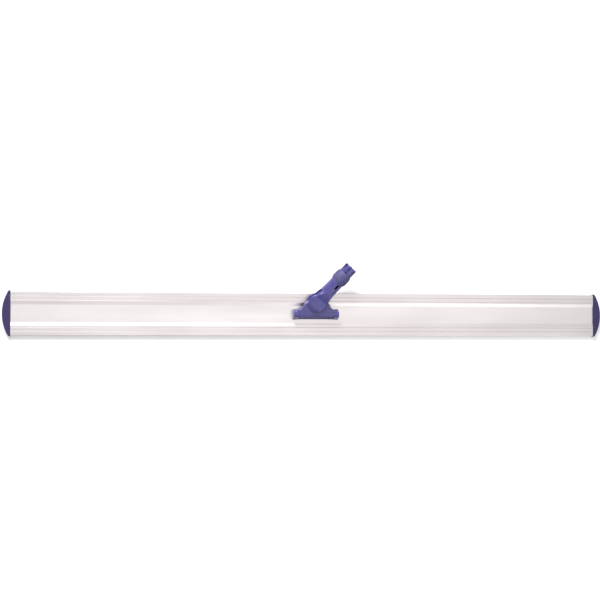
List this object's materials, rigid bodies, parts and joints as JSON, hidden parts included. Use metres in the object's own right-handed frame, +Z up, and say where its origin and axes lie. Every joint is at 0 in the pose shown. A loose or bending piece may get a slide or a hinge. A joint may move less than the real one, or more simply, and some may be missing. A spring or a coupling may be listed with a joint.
{
  "type": "flat mop frame",
  "caption": "Wide flat mop frame: aluminium extrusion with hook strips, plastic end caps and a tilting, swinging handle joint with a twist clamp.",
  "frame": {"origin": "middle of the underside, on the plane that the two hook strips stand on", "axes": "+X along the extrusion, +Y to the rear where the joint leans at rest, +Z up"},
  "size_m": [1.524, 0.1845, 0.0727],
  "materials": {
    "anodised_aluminium": "satin",
    "cap_plastic": "satin",
    "joint_plastic": "gloss",
    "collar_plastic": "ribbed",
    "hook_nylon": "hooked",
    "bush_acetal": "turned",
    "zinc_steel": "zinc plated",
    "pin_steel": "ground"
  },
  "bodies": {
    "frame": {"frame_profile": "anodised_aluminium", "front_hook_strip": "hook_nylon", "rear_hook_strip": "hook_nylon", "left_end_cap": "cap_plastic", "right_end_cap": "cap_plastic", "left_cap_screws": "zinc_steel", "right_cap_screws": "zinc_steel", "joint_base": "joint_plastic", "base_backing_plate": "zinc_steel", "base_screws": "zinc_steel", "tilt_pin": "pin_steel", "left_pin_plug": "joint_plastic", "right_pin_plug": "joint_plastic"},
    "rocker": {"rocker": "joint_plastic", "left_tilt_bush": "bush_acetal", "right_tilt_bush": "bush_acetal", "swing_bush": "bush_acetal", "front_swing_washer": "bush_acetal", "rear_swing_washer": "bush_acetal"},
    "socket": {"handle_socket": "joint_plastic", "swing_pin": "pin_steel", "swing_pin_plug": "joint_plastic"},
    "collar": {"clamp_collar": "collar_plastic"}
  },
  "joints": [
    {"name": "tilt_hinge", "type": "hinge", "parent": "frame", "child": "rocker", "pos_m": [0, 0, 0.0225], "axis": [1, 0, 0], "range_deg": [0, 148]},
    {"name": "swing_hinge", "type": "hinge", "parent": "rocker", "child": "socket", "pos_m": [0, 0.02836, 0.03063], "axis": [0, 0.2756, -0.9613], "range_deg": [-116.4, 33.6]},
    {"name": "collar_twist", "type": "hinge", "parent": "socket", "child": "collar", "pos_m": [0.0582, 0.09181, 0.04883], "axis": [0.6613, 0.7211, 0.2068], "range_deg": [0, 270]}
  ]
}
